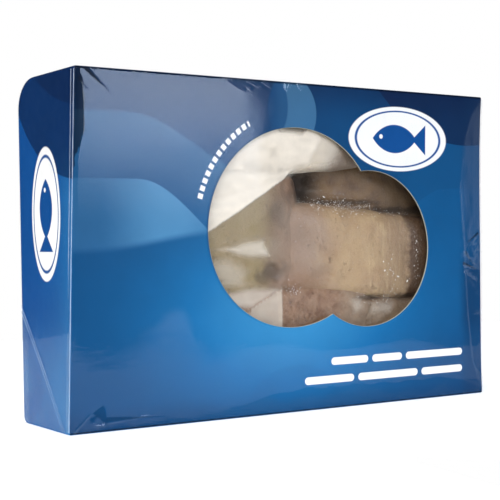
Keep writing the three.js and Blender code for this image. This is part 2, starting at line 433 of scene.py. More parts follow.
class Socket:
    """A socket of one material, so that an expression in Python adds the nodes that work it out."""

    def __init__(self, finish, socket):
        self.finish = finish
        self.socket = socket

    def maths(self, operation, *values):
        return self.finish.node("Math", {"operation": operation}, dict(enumerate(values)))

    def __add__(self, other):
        return self.maths("ADD", self, other)

    def __radd__(self, other):
        return self.maths("ADD", other, self)

    def __sub__(self, other):
        return self.maths("SUBTRACT", self, other)

    def __rsub__(self, other):
        return self.maths("SUBTRACT", other, self)

    def __mul__(self, other):
        return self.maths("MULTIPLY", self, other)

    def __rmul__(self, other):
        return self.maths("MULTIPLY", other, self)

    def __truediv__(self, other):
        return self.maths("DIVIDE", self, other)

    def __rtruediv__(self, other):
        return self.maths("DIVIDE", other, self)

    def __pow__(self, other):
        return self.maths("POWER", self, other)

    def __rpow__(self, other):
        return self.maths("POWER", other, self)

    def __neg__(self):
        return self.maths("MULTIPLY", self, -1)

    def __abs__(self):
        return self.maths("ABSOLUTE", self)

    def lower(self, other):
        return self.maths("MINIMUM", self, other)

    def higher(self, other):
        return self.maths("MAXIMUM", self, other)

    def exp(self):
        return self.maths("EXPONENT", self)

    def between(self, low, high, to_low=0.0, to_high=1.0):
        """An even rise from to_low where this is low, to to_high where it is high."""
        return self.finish.node(
            "MapRange",
            {"interpolation_type": "SMOOTHSTEP"},
            {"Value": self, "From Min": low, "From Max": high, "To Min": to_low, "To Max": to_high},
        )


class Finish:
    """The nodes of one material."""

    def __init__(self, name):
        self.material = bpy.data.materials.new(name)
        self.material.use_nodes = True
        self.tree = self.material.node_tree
        self.tree.nodes.clear()

    def node(self, kind, settings=None, sockets=None, output=0):
        """Adds a node, makes its settings, fills its sockets, and gives one of its outputs."""
        made = self.tree.nodes.new("ShaderNode" + kind)
        for key, value in (settings or {}).items():
            if key == "stops":
                self.set_stops(made.color_ramp, value)
            else:
                setattr(made, key, value)
        for key, value in (sockets or {}).items():
            if isinstance(value, Socket):
                self.tree.links.new(value.socket, made.inputs[key])
            else:
                made.inputs[key].default_value = value
        return Socket(self, made.outputs[output])

    @staticmethod
    def set_stops(ramp, stops):
        for position, _ in stops[1:-1]:
            ramp.elements.new(position)
        for element, (position, shade) in zip(ramp.elements, stops):
            element.position = position
            element.color = (*shade, 1)

    def place(self):
        """The x, y and z of the surface, in millimetres."""
        where = self.node("TexCoord", output="Object")
        return [self.node("SeparateXYZ", None, {0: where}, axis) * (1 / MM) for axis in range(3)]

    def spot(self, x=1.0, y=1.0, z=1.0):
        """The surface's place in millimetres as a vector, each way stretched by a factor."""
        where = self.node("TexCoord", output="Object")
        scale = (x / MM, y / MM, z / MM)
        return self.node("VectorMath", {"operation": "MULTIPLY"}, {0: where, 1: scale})

    def grain(self, size, detail=3.0, roughness=0.55, spot=None, **settings):
        """Noise from 0 to 1 with grains about size mm wide."""
        sockets = {
            "Vector": spot or self.spot(),
            "Scale": 1 / size,
            "Detail": detail,
            "Roughness": roughness,
        }
        return self.node("TexNoise", settings, sockets)

    def attribute(self, name):
        return self.node("Attribute", {"attribute_name": name}, output="Fac")

    @staticmethod
    def shade(value):
        """What a colour's socket takes: a socket as it is, or four values from a code or from three."""
        if isinstance(value, Socket):
            return value
        return (*(ink(value) if isinstance(value, str) else value), 1)

    def blend(self, factor, a, b, kind="MIX"):
        """Colour a turning to colour b by a factor."""
        settings = {"data_type": "RGBA", "blend_type": kind, "clamp_factor": True}
        return self.node("Mix", settings, {0: factor, 6: self.shade(a), 7: self.shade(b)}, 2)

    def layers(self, shade, *laid_over):
        """A colour with others laid over it in turn, each given after how much of it shows."""
        for factor, colour in laid_over:
            shade = self.blend(factor, shade, colour)
        return shade

    def bump(self, height, distance):
        """A normal for a height that runs from 0 to 1, distance mm apart."""
        return self.node("Bump", None, {"Height": height, "Distance": distance * MM})

    def principled(self, **sockets):
        """The main surface shader, with sockets named in words_with_underscores."""
        named = {key.replace("_", " ").title().replace("Ior", "IOR"): v for key, v in sockets.items()}
        return self.node("BsdfPrincipled", None, named)

    def use(self, surface):
        """Ends the material with its surface."""
        output = self.tree.nodes.new("ShaderNodeOutputMaterial")
        self.tree.links.new(surface.socket, output.inputs["Surface"])
        return self.material


# ---- Printed shapes


def ellipse(x, z, middle_x, middle_z, half_width, half_height):
    """About how far a point lies outside an ellipse, in millimetres, and below 0 inside it."""
    across = (x - middle_x) / half_width
    up = (z - middle_z) / half_height
    return ((across * across + up * up) ** 0.5 - 1) * min(half_width, half_height)


def bar(x, z, middle_x, middle_z, half_length, half_height):
    """How far a point lies outside a bar with round ends."""
    across = (abs(x - middle_x) - (half_length - half_height)).higher(0)
    up = z - middle_z
    return (across * across + up * up) ** 0.5 - half_height


def inside(distance, softness=0.25):
    """1 where a distance is below 0, with an edge about as sharp as print."""
    return distance.between(softness, -softness)


def above_wave(x, z, left, right, high, low):
    """How far a point lies above a line that runs level, then down in one wave, then level."""
    return z - x.between(left, right, high, low)


def fish_badge(x, z, size):
    """Masks of a plain badge: an oval plate, and the outline of a simple fish in it."""
    plate = ellipse(x, z, 0, 0, size, 0.5 * size)
    ring = abs(plate + 0.07 * size) - 0.012 * size
    body = ((x + 0.08 * size) ** 2 + (abs(z) + 0.34 * size) ** 2) ** 0.5 - 0.56 * size
    tail = (abs(z) - (x - 0.28 * size) * 0.85).higher(x - 0.56 * size).higher(0.28 * size - x)
    eye = ellipse(x, z, -0.36 * size, 0.03 * size, 0.035 * size, 0.035 * size)
    fish = body.lower(tail).higher(-eye).lower(ring)
    return inside(plate), inside(fish)


def badge_layers(x, z, size):
    """The fish badge, as layers to print over a colour."""
    colours = bpy.context.scene.pack_print
    plate, fish = fish_badge(x, z, size)
    return (plate, colours.plate), (fish, colours.side)


# Inks of painted dark reflection and painted shade: where the film is drawn in, along the front's outline,
# and over the front's right end where it bends back
DARK_REFLECTION_INK, RIM_SHADE_INK, FAR_SHADE_INK = "#08162a", "#06101f", "#0b2c50"

# Bars printed on the front: middle, height and half length, and half their height
BARS = [(35, 26.5, 13), (62, 26.5, 11), (98, 26.5, 22), (21, 16.5, 17), (63, 16.5, 22), (104, 16.5, 16)]
BAR_HALF_HEIGHT = 2.1

# Dashes along an arc round the window's left ellipse
ARC = {"radius": 63.5, "half_height": 1.5, "pitch": 4.2, "half_dash": 1.35, "middle": 143, "half_length": 26}


def dashed_arc(finish, x, z):
    """How far a point lies outside the dashes."""
    across, up = x - WINDOW[0][0], z - WINDOW[0][1]
    ring = abs((across * across + up * up) ** 0.5 - ARC["radius"]) - ARC["half_height"]
    angle = finish.node("Math", {"operation": "ARCTAN2"}, {0: up, 1: across})
    wave = finish.node("Math", {"operation": "PINGPONG"}, {0: angle * ARC["radius"], 1: ARC["pitch"]})
    dash = abs(wave - ARC["pitch"] / 2) - ARC["half_dash"]
    beyond_ends = abs(angle - math.radians(ARC["middle"])) * ARC["radius"] - ARC["half_length"]
    return ring.higher(dash).higher(beyond_ends)


def front_artwork(finish, x, z):
    """The front panel's print: a glow, waves and discs of blue, a badge, bars and a dashed arc, with painted
    dark reflections where the film is drawn in, and painted shade along the rims and over the right end.
    """
    colours = bpy.context.scene.pack_print
    glow = (-(((x + 4) / 78) ** 2) - ((z - 57) / 46) ** 2).exp()
    stops = [(0, colours.deep), (0.5, colours.middle), (1, colours.bright)]
    left, right = x.between(30, -30), x.between(60, 85)
    # Waves that come in from the sides and meet the window, and a pale band below one of them
    low_wave = above_wave(x, z, -101, -24, 126, 80)
    high_wave = above_wave(x, z, -107, -30, 159, 130)
    right_wave = above_wave(x, z, 72, 106, 112, 124)
    band_foot = z - x.between(-130, -50, 90, 99)
    band = inside(low_wave) * band_foot.between(-2, 3) * left
    band = band * (x.between(-125, -84, 0.1, 0.46) - x.between(-76, -58, 0, 0.16))
    # Navy over the top, more of it at the left
    dusk = z.between(128, 190) * left * 0.75 + z.between(158, 182) * (1 - left) * 0.6
    disc = inside(ellipse(x, z, -12, 163, 22, 22)) * x.between(-22, -12)
    low_discs = inside(ellipse(x, z, -2, -12, 38, 38), 0.6) + inside(ellipse(x, z, 52, -30, 50, 50), 0.6)
    low_right = x.between(115, 125) * z.between(88, 74) * z.between(34, 48)
    # Painted dark reflections along the film's drawn-in strokes
    strokes = []
    for start, end, half_width, strength in STROKES:
        beside, behind = outside_stroke(x, z, start, end, half_width)
        strokes.append((inside(beside.higher(behind), 0.15) * strength, DARK_REFLECTION_INK))
    # A ragged dark strip down the upper left edge: painted dark reflection of the film bent back there
    ragged = x + finish.grain(5, 4, 0.7) * 5 + z.between(152, 126) * 6 + z.between(164, 178) * 2
    # Painted shade and dark reflection along the front's top and base rims
    rims = z.between(1.6, 0.8).higher(z.between(178.2, 179.2))
    hole = ellipse(x, z, *WINDOW[0]).lower(ellipse(x, z, *WINDOW[1]))
    bars = dashed_arc(finish, x, z)
    for middle, height, half_length in BARS:
        bars = bars.lower(bar(x, z, middle, height, half_length, BAR_HALF_HEIGHT))
    return finish.layers(
        finish.node("ValToRGB", {"stops": stops}, {0: glow}),
        (right * z.between(20, 60) * 0.3, colours.middle),
        (dusk, colours.navy),
        (inside(high_wave) * (high_wave / 34).exp() * left * 0.16, colours.pale),
        (band, colours.pale),
        (inside(-right_wave) * right * 0.12, colours.navy),
        (inside(ellipse(x, z, 122, 242, 92, 92)) * 0.8, colours.navy),
        (disc * 0.26, colours.pale),
        (inside(ellipse(x, z, -16, 166, 6.5, 13.5), 0.6) * 0.75, colours.deep),
        (low_discs * 0.1, colours.deep),
        # Darker towards the base
        (z.between(14, 0) * 0.35, colours.navy),
        # Painted shade over the right end, where the front bends back
        (x.between(117, 126) * 0.38, FAR_SHADE_INK),
        (low_right * 0.35, colours.navy),
        *strokes,
        (ragged.between(-128.4, -129.4) * z.between(120, 132) * 0.85, DARK_REFLECTION_INK),
        (rims * 0.8, RIM_SHADE_INK),
        (inside(hole - 0.15, 0.15), colours.rim),
        *badge_layers(x - 70, z - 152, 37),
        (inside(bars), colours.plate),
    )


def end_artwork(finish, y, z):
    """The ends' print: navy above a curve and blue below, with a badge on its side, and a painted highlight
    along its front edge and a painted reflection low down.
    """
    colours = bpy.context.scene.pack_print
    # Painted highlight along the front edge, where the film curves round it
    painted_front_highlight = ((y + 31) / -14).exp() * z.between(150, 112) * 0.6
    # Painted reflection of the floor, in patches low on the end
    painted_low_reflection = z.between(64, 20) * finish.grain(24, 2).between(0.35, 0.65, 0.1, 0.3)
    return finish.layers(
        finish.blend(painted_front_highlight + painted_low_reflection, colours.side, colours.bright),
        (inside(ellipse(y, z, -40, 207, 88, 82)) * 0.72, colours.navy),
        (inside(ellipse(y, z, -44, 243, 90, 82)) * 0.5, colours.navy),
        *badge_layers(-(z - 109), y - 0.5, 34),
    )


def plain_artwork(finish, x, z):
    """The back's, top's and base's print: the front's blues in broad waves."""
    colours = bpy.context.scene.pack_print
    return finish.layers(
        finish.blend(z.between(30, 150), colours.middle, colours.deep),
        (inside(above_wave(x, z, -90, 100, 60, 118)) * 0.16, colours.pale),
        (inside(-above_wave(x, z, -60, 90, 170, 128)) * 0.7, colours.navy),
    )


# ---- Materials


def printed_card(name, artwork, *axes):
    """Varnished printed card, with one panel's artwork along two of the axes."""
    finish = Finish(name)
    place = finish.place()
    shade = artwork(finish, *(place[axis] for axis in axes))
    mottle = finish.grain(16, 4) * 0.16 + finish.grain(0.9, 2) * 0.06
    shade = finish.blend(mottle, shade, "#0a1c3c", "MULTIPLY")
    height = finish.grain(38, 2, 0.4) + finish.grain(0.7, 2) * 0.02
    return finish.use(
        finish.principled(
            base_color=shade,
            roughness=finish.grain(6, 3).between(0.3, 0.7, 0.3, 0.42),
            specular_ior_level=0.05,
            coat_weight=0.04,
            coat_roughness=0.2,
            normal=finish.bump(height, 0.5),
        )
    )


def bare_card(name, code):
    """Unprinted card, with its fibres."""
    finish = Finish(name)
    fibres = finish.grain(0.5, 4, 0.7, finish.spot(1.0, 1.0, 0.3))
    shade = finish.blend(fibres * 0.5, code, "#a59a86")
    return finish.use(
        finish.principled(base_color=shade, roughness=0.9, normal=finish.bump(fibres, 0.08))
    )


def brushed(finish):
    """Height of the fine ripples across the lower left of the front's film."""
    x, _, z = finish.place()
    strokes = finish.grain(1.5, 3, 0.6, finish.spot(0.3, 1.0, 1.0))
    return strokes * x.between(-25, -70) * (-(((z - 39) / 9) ** 2)).exp() * 5


def clear_film(name, wrinkle, gloss, tint, roughness=0.05, ripples=None):
    """Thin clear film: mostly see-through, glossy at a slant, dull at the pack's top and base rims and
    where the dull attribute is high, and of the tint's colour where the milk attribute is high, which is
    milky film and, in places, painted highlight."""
    finish = Finish(name)
    folds = finish.grain(7, 4, 0.5, noise_type="RIDGED_MULTIFRACTAL") * 0.6 + finish.grain(22, 2)
    if ripples:
        folds = folds + ripples(finish)
    normal = finish.bump(folds, wrinkle)
    slant = finish.node("LayerWeight", None, {"Blend": 0.5, "Normal": normal}, "Facing")
    height = finish.place()[2]
    rims = height.between(0.6, 2.2, 0.1) * height.between(179.6, 178.2, 0.1)
    shine = (slant**5 * 0.95 + 0.045) * gloss * rims * (1 - finish.attribute("dull"))
    clear = finish.node("BsdfTransparent")
    glossy = finish.node("BsdfGlossy", None, {"Roughness": roughness, "Normal": normal})
    grain = finish.grain(5, 3).between(0.3, 0.7, 0.93, 1.0)
    white = finish.node("BsdfDiffuse", None, {"Color": finish.shade(tint)})
    body = finish.node("MixShader", None, {0: finish.attribute("milk") * grain, 1: clear, 2: white})
    return finish.use(finish.node("MixShader", None, {0: shine, 1: body, 2: glossy}))


def flesh(name, light, dark, accent, bands, size, rime, tones=(), flecks=0.25, streaked=None):
    """Frozen fish: flesh in three colours with clouds about size mm wide, darker flakes and streaks
    across it in a share given by bands, and rime on it. It is darkened by painted shade where the shade
    attribute is high.
    tones are changes of colour along the pack: from, to, how much, and the colour. flecks is how
    strong its brown flecks are, and pale streaks run up it between the two places streaked."""
    fish = bpy.context.scene.pack_fish
    finish = Finish(name)
    x, _, z = finish.place()
    cloud = finish.grain(size, 5, 0.6)
    streaks = finish.grain(3.2, 3, 0.5, finish.spot(1.0, 1.0, 0.16)).between(0.42, 0.66)
    bent = x + finish.grain(14, 3) * 9 + abs(z * 0.22)
    flakes = finish.node("Math", {"operation": "SINE"}, {0: bent * 0.62}).between(0.55, 1.0)
    shade = finish.layers(
        finish.blend(cloud.between(0.38, 0.68), light, dark),
        (finish.grain(2.1 * size, 3).between(0.45, 0.7) * 0.7, accent),
        (flakes * bands + streaks * bands, dark),
    )
    if streaked:
        low, high = streaked
        upright = finish.grain(2.6, 2, 0.5, finish.spot(1.0, 1.0, 0.12)).between(0.48, 0.66)
        upright = upright * x.between(low - 6, low) * x.between(high + 6, high)
        shade = finish.blend(upright * 0.55, shade, "#c6ad84")
    ragged = x + (finish.grain(5, 4, 0.6) - 0.5) * 10
    fleck = finish.grain(2.4, 4, 0.7).between(0.55, 0.72) * finish.grain(17, 2).between(0.42, 0.62)
    fine = finish.grain(1.3, 5, 0.7)
    shade = finish.layers(
        shade,
        *((ragged.between(start, end) * share, tone) for start, end, share, tone in tones),
        (fleck * flecks, fish.brown),
        (fine.between(0.42, 0.7) * rime, fish.frost),
        # Painted shade from the shade attribute
        (finish.attribute("shade"), fish.dark),
    )
    height = fine * 0.6 - flakes * 0.1 - streaks * 0.05 + cloud * 0.9 - fleck * 0.5
    return finish.use(
        finish.principled(
            base_color=shade,
            roughness=fine.between(0.3, 0.7, 0.42, 0.62),
            subsurface_weight=0.12,
            subsurface_radius=(0.0035, 0.002, 0.0012),
            subsurface_scale=1.0,
            normal=finish.bump(height, 0.9),
        )
    )


def ice(name):
    """Frost crystals: white and a little glossy."""
    finish = Finish(name)
    shade = finish.blend(finish.grain(1.1, 2), "#ffffff", "#d9d2cb")
    return finish.use(finish.principled(base_color=shade, roughness=0.25, specular_ior_level=0.7))


# ---- The carton


def front_rings(xs, zs):
    """Rings of points from the front panel's grid in to the window's outline, and round it."""
    inner_x, inner_z = xs[len(RIM) : -len(RIM)], zs[len(RIM) : -len(RIM)]
    left, right, low, high = inner_x[0], inner_x[-1], inner_z[0], inner_z[-1]
    rim = np.concatenate(
        [
            [(x, low) for x in inner_x[:-1]],
            [(right, z) for z in inner_z[:-1]],
            [(x, high) for x in inner_x[:0:-1]],
            [(left, z) for z in inner_z[::-1]],
        ]
    )
    angle = np.arctan2(rim[:, 1] - WINDOW_MIDDLE[1], rim[:, 0] - WINDOW_MIDDLE[0])
    reach = window_reach(angle)
    hole = np.stack(
        [WINDOW_MIDDLE[0] + reach * np.cos(angle), WINDOW_MIDDLE[1] + reach * np.sin(angle)], -1
    )
    rings, crowding = 34, 0.85
    share = (np.linspace(0, 1, rings + 1) ** crowding)[:, None, None]
    flat = mix(rim[None], hole[None], share)
    return np.insert(flat, 1, -DEPTH / 2, axis=2)


def add_other_sides(skin, xs, ys, zs, plain=0, end=0):
    """Adds the sides of the sharp box other than the front: back, top, base, left end, right end."""
    half_x, half_y = WIDTH / 2, DEPTH / 2
    skin.grid(plane(zs, xs[::-1], lambda z, x: (x, half_y, z)), plain)
    skin.grid(plane(ys, xs, lambda y, x: (x, y, HEIGHT)), plain)
    skin.grid(plane(ys[::-1], xs, lambda y, x: (x, y, 0)), plain)
    skin.grid(plane(zs, ys[::-1], lambda z, y: (-half_x, y, z)), end)
    skin.grid(plane(zs, ys, lambda z, y: (half_x, y, z)), end)


def box_lines(step):
    """Places of grid lines along the sharp box's three axes."""
    half_x, half_y = WIDTH / 2, DEPTH / 2
    return lines(-half_x, half_x, step), lines(-half_y, half_y, step), lines(0, HEIGHT, step)


def build_carton():
    """The folded card: a box open at the window, with its thickness and its cut edge."""
    colours = bpy.context.scene.pack_print
    xs, ys, zs = box_lines(bpy.context.scene.pack_sizes.card_step / MM)
    front, end, plain = range(3)
    rows, columns = np.meshgrid(np.arange(len(zs) - 1), np.arange(len(xs) - 1), indexing="ij")
    near_rim = (rows < len(RIM)) | (rows >= len(zs) - 1 - len(RIM))
    near_rim |= (columns < len(RIM)) | (columns >= len(xs) - 1 - len(RIM))
    skin = Skin()
    skin.grid(plane(zs, xs, lambda z, x: (x, -DEPTH / 2, z)), front, near_rim)
    skin.grid(front_rings(xs, zs), front)
    add_other_sides(skin, xs, ys, zs, plain, end)
    skin.points = [on_carton(np.concatenate(skin.points))]
    printed = [
        printed_card("print_front", front_artwork, 0, 2),
        printed_card("print_end", end_artwork, 1, 2),
        printed_card("print_plain", plain_artwork, 0, 2),
    ]
    inner = [bare_card("card_inside", colours.card)] * len(printed)
    piece = skin.piece("carton_card", [*printed, *inner, bare_card("card_cut_edge", colours.rim)])
    count = len(printed)
    thicken(piece, BOARD, material_offset=count, material_offset_rim=2 * count, use_even_offset=True)
    return piece


# ---- The clear wrapping


# Folds of the film on the front, raised in the film and painted white along their lines as highlights:
# start, end, width and height, each fading out at its end
FRONT_FOLDS = [
    ((-50, 180), (-38, 173.5), 0.6, 0.35),
    ((-44, 180), (-33, 174.5), 0.5, 0.35),
    ((-38, 180), (-26, 176), 0.6, 0.3),
    ((-28, 180), (-20, 176.5), 0.5, 0.3),
    ((-9, 180), (-11, 175), 1.4, 0.5),
    ((-3, 180), (1, 176), 1.0, 0.35),
    ((137, 99), (123, 87), 0.7, 0.55),
    ((137, 93), (127, 82), 0.6, 0.5),
    ((122, 85.5), (136, 74), 0.8, 0.6),
    ((121, 78), (133, 76), 0.7, 0.5),
    ((122, 74), (134, 68), 0.6, 0.45),
    ((137, 86), (129, 90), 0.5, 0.4),
    ((137, 50), (128, 49), 0.6, 0.3),
    ((137, 8), (126, 22), 0.5, 0.4),
    ((137, 4), (121, 10), 0.6, 0.35),
    ((-134.5, 1.5), (-124.5, 11), 0.5, 0.6),
    ((-125, 4), (-116, 2.8), 0.5, 0.3),
    ((-123, 3), (-114, 4.2), 0.4, 0.25),
    ((-117, 4.2), (-86, 6.8), 0.5, 0.5),
]

# Shallow dents of the film on the front: place, half sizes and depth
FRONT_DENTS = [(-118, 4, 6, 5, 0.45), (-120, 122, 4, 30, -0.15)]

# Strokes where the film is drawn in, pressed into the film and painted dark into the print as reflections:
# start, end, half width at the start and strength
STROKES = [
    ((-131.0, 178.9), (-118.0, 168.0), 1.1, 1.0),
    ((-129.8, 178.2), (-135.2, 179.8), 0.8, 1.0),
    ((-134.8, 174.6), (-130.3, 168.7), 0.75, 1.0),
    ((134.8, 97.6), (122.5, 90.6), 0.9, 0.75),
    ((122.6, 86.4), (128.5, 80.0), 1.5, 0.5),
    ((121.0, 79.4), (134.3, 75.0), 1.0, 0.75),
    ((-121.8, 12.0), (-116.0, 3.0), 3.6, 0.3),
    ((-126.0, 6.5), (-120.0, 9.5), 1.6, 0.2),
    ((-117.0, 6.4), (-84.0, 5.2), 1.1, 0.35),
]

# How high the film stands off the front at its base: places along the pack, and the heights there
HEM = ((-137, -118, -60, 0, 100, 137), (0, 3, 4.5, 13, 12, 8))

# The film's usual distance from the front, and the least
SLACK = 0.8
CLOSEST = 0.08

# Half width of the raised line along a cut or welded edge of the film
LIP = 0.2


def hem_height(x, z):
    """Height to which the film stands off the front at its base."""
    flat = spots(x, 0, z)
    return np.interp(x, *HEM) + 1.5 * wobble(flat, 12, 44)


def film_relief(x, z):
    """How far the wrapping film lies off the front: its slack, ripples and folds."""
    flat = spots(x, 0, z)
    height = SLACK + bumps(flat, (0.12, 62, 41), (0.03, 17, 42))
    # Fine ripples at the lower left
    low_left = smooth((-25 - x) / 50) * smooth((56 - z) / 16)
    height = height + 0.03 * low_left * wobble(flat * (0.38, 1, 1.25), 4.2, 43)
    # The film stands off the front at its base
    height = height + 0.09 * np.clip(hem_height(x, z) - z, 0, 14) * smooth(z / 3)
    for middle_x, middle_z, half_x, half_z, depth in FRONT_DENTS:
        height = height - depth * bell(np.hypot((x - middle_x) / half_x, (z - middle_z) / half_z))
    # Crinkles to the right of the crease, most of them half way up
    crinkle = smooth(past_crease(x, z) / 5) * (1 + 1.2 * bell((z - 82) / 13))
    height = height + crinkle * 0.2 * wobble(flat * (1, 1, 0.5), 7, 45)
    height = height + crinkle * 0.07 * wobble(flat * (1, 1, 0.6), 2.6, 48)
    # A strip down the left edge where the film bends back, narrower at its foot and its top
    strip = -132.2 + bumps(flat, (0.9, 2.6, 46), (1.0, 9, 47))
    strip = strip - 5.0 * smooth((150 - z) / 22) - 2.0 * smooth((z - 164) / 12)
    height = height - 0.12 * np.clip(strip - x, 0, 6)
    height = height + 0.15 * bell(past_crease(x, z) / 0.7) * smooth((132 - z) / 10)
    for start, end, width, amount in FRONT_FOLDS:
        height = height + amount * ridge(x, z, start, end, width)
    for start, end, half_width, _ in STROKES:
        beside, behind = outside_stroke(x, z, start, end, half_width)
        height = height - 0.15 * smooth(0.2 - np.maximum(beside, behind) / 0.8)
    return np.maximum(height, CLOSEST)


def film_marks(x, z):
    """Painted highlights on the front film, white along its creases, and how dull it is at its base and on
    its strokes.
    """
    flat = spots(x, 0, z)
    waver = 0.6 + 0.4 * wobble(flat, 5, 61)
    # Painted highlights: a thin line along the curved crease at the right, and a crinkled patch beside it
    arc = bell(past_crease(x, z) / 0.45) * smooth((134 - z) / 16)
    crinkle_highlight = bell(np.hypot((x - 129) / 8, (z - 83) / 12)) * bell(wobble(flat * (1, 1, 1.5), 6, 62) / 0.1)
    white = (0.16 * arc + 0.2 * crinkle_highlight) * waver
    # Painted highlights along the folds
    for start, end, width, amount in FRONT_FOLDS:
        white = white + 0.3 * amount * waver * ridge(x, z, start, end, width * 0.8)
    ragged = 0.5 * wobble(flat * (0.4, 1, 1), 2.5, 63)
    dull = 0.7 * smooth((hem_height(x, z) + ragged - z) / 1.2)
    for start, end, half_width, _ in STROKES:
        beside, behind = outside_stroke(x, z, start, end, half_width)
        dull = np.maximum(dull, smooth(0.6 - (np.maximum(beside, behind) - 0.4 * ragged) / 0.8))
    return np.clip(white, 0, 0.5), np.clip(dull, 0, 1)


# Where the front's film is wrinkled, along the pack and upwards, and the steps of its grid's lines
# there, elsewhere on the front, and on the other sides
WRINKLED_X = [(-137, -62), (-48, 2), (116, 137)]
WRINKLED_Z = [(0, 52), (64, 100), (160, 180)]
FINE_STEP, COARSE_STEP, SIDE_STEP = 0.6, 1.4, 2.0


def graded_lines(low, high, zones):
    """Places of grid lines from low to high, close together inside the zones."""
    places = [low + EDGE_RADIUS]
    while places[-1] < high - EDGE_RADIUS:
        step = FINE_STEP if any(a <= places[-1] <= b for a, b in zones) else COARSE_STEP
        places.append(places[-1] + step)
    return with_rims(low, high, places[:-1])


def build_film_front():
    """The wrapping film over the front panel and its window, with its wrinkles."""
    xs = graded_lines(-WIDTH / 2, WIDTH / 2, WRINKLED_X)
    zs = graded_lines(0, HEIGHT, WRINKLED_Z)
    flat = plane(zs, xs, lambda z, x: (x, -DEPTH / 2, z))
    points = on_carton(flat, film_relief(flat[..., 0], flat[..., 2]))
    points[..., 2] = np.maximum(points[..., 2], 0)
    skin = Skin()
    skin.grid(points)
    # Here the milk attribute holds the painted highlights
    white, dull = film_marks(flat[..., 0], flat[..., 2])
    film = clear_film("film_clear", 0.02, 0.47, "#a9c4e4", ripples=brushed)
    return skin.piece("film_front", [film], {"milk": white, "dull": dull})


def build_film_sides():
    """The wrapping film over the other five sides."""
    usual, least = 0.3, 0.1
    skin = Skin()
    add_other_sides(skin, *box_lines(SIDE_STEP))
    flat = np.concatenate(skin.points)
    gap = usual + bumps(flat, (0.2, 30, 51), (0.06, 9, 52))
    gap = np.where(flat[:, 2] < EDGE_RADIUS, 0.0, np.maximum(gap, least))
    skin.points = [on_carton(flat, gap)]
    film = clear_film("film_clear_sides", 0.006, 0.33, "#f4efe9")
    return skin.piece("film_sides", [film], {"milk": np.full(len(flat), 0.001)})


def end_point(side, y, z, out):
    """A point out mm outside the carton's left (-1) or right (1) end."""
    return on_carton(spots(side * WIDTH / 2, y, z), out)


def fine_lips(near, far, edges, width=LIP):
    """Places from near to far, close together round each lip's edge."""
    fine = [edge + width * step for edge in edges for step in np.linspace(-2.2, 2.2, 9)]
    places = np.concatenate([np.linspace(near, far, 24), fine])
    return np.unique(np.clip(places, near, far))


def lip_height(places, edges, width=LIP):
    """1 on each lip's edge and 0 between them."""
    return sum(bell((places - edge) / width) for edge in edges)


def add_film(name, points, milk, wrinkle, gloss, tint):
    """A piece of clear film from a grid of points, milky as given at each."""
    skin = Skin()
    skin.grid(points)
    film = clear_film(name + "_film", wrinkle, gloss, tint)
    return skin.piece(name, [film], {"milk": np.clip(milk, 0, 1)})


def build_end_fold(side, name):
    """The dog-eared corner of the wrapping film, folded flat over the lower part of an end."""
    sizes = bpy.context.scene.pack_sizes
    back, foot = DEPTH / 2 - 1.2, 1.3
    corner = np.array([back, foot])
    top = np.array([back, sizes.fold_reach / MM])
    tip = np.array([4.0 - DEPTH / 2, foot])
    altitude = (top[1] - corner[1]) * (corner[0] - tip[0]) / math.hypot(*(top - tip))
    edges = (0.3, sizes.weld_width / MM)
    inward = fine_lips(0, altitude, edges)
    share, along = np.meshgrid(1 - inward / altitude, np.linspace(0, 1, 90), indexing="ij")
    start = corner + (top - corner) * share[..., None]
    end = corner + (tip - corner) * share[..., None]
    place = mix(start, end, along[..., None])
    y, z = place[..., 0], place[..., 1]
    lip = lip_height(altitude * (1 - share), edges)
    waver = wobble(spots(y, z), 3, 9)
    points = end_point(side, y, z, 0.55 + 0.2 * lip + 0.12 * np.abs(wobble(spots(y, z), 14, 7)))
    # White along the welded lips and near the back edge: partly the film's milkiness, partly painted
    # highlight
    milk = 0.008 + lip * (0.6 + 0.3 * waver) * (1 - 0.6 * smooth((along - 0.5) / 0.3))
    milk = milk + 0.12 * smooth((y - DEPTH / 2 + 11) / 3) * (0.8 + 0.4 * waver)
    return add_film(name, points[::side], milk[::side], 0.04, 0.12, "#b9d6f7")


def build_end_lap(side, name):
    """The film's cut edge, which shows as two fine raised lines beside the front edge of an end, with their
    highlights painted white.
    """
    edges, reach, margin = (0.35, 2.5), 3.4, 1.5
    share, height = np.meshgrid(fine_lips(0, reach, edges), np.linspace(0, 1, 150), indexing="ij")
    z = margin + (HEIGHT - 2 * margin) * height
    waver = 0.1 * wobble(spots(z), 16, 8 + side)
    first, second = (lip_height(share, (edge,)) for edge in edges)
    lip = first + second * smooth((z - 55) / 40)
    points = end_point(side, -DEPTH / 2 + share + waver, z, 0.4 + 0.25 * lip)
    # Painted highlights along the two lines
    milk = lip * (0.55 + 0.2 * wobble(spots(z, share), 5, 12))
    return add_film(name, points[::-side], milk[::-side], 0.1, 0.6, "#d6e6fa")


def build_back_seam():
    """The lap seam of the wrapping film, along the middle of the back."""
    edges, reach, margin, foot, lip_width = (0.4, 8.6), 9, 2, 62, 0.25
    places = fine_lips(0, reach, edges, lip_width)
    share, along = np.meshgrid(places, np.linspace(-1, 1, 200), indexing="ij")
    x = along * (WIDTH / 2 - margin)
    z = foot + share + 0.6 * wobble(spots(x), 40, 11)
    lip = lip_height(share, edges, lip_width)
    points = on_carton(spots(x, DEPTH / 2, z), 0.55 + 0.25 * lip)
    return add_film("film_seam", points[:, ::-1], (0.05 + 0.4 * lip)[:, ::-1], 0.2, 0.7, "#d6e6fa")


# ---- The loins


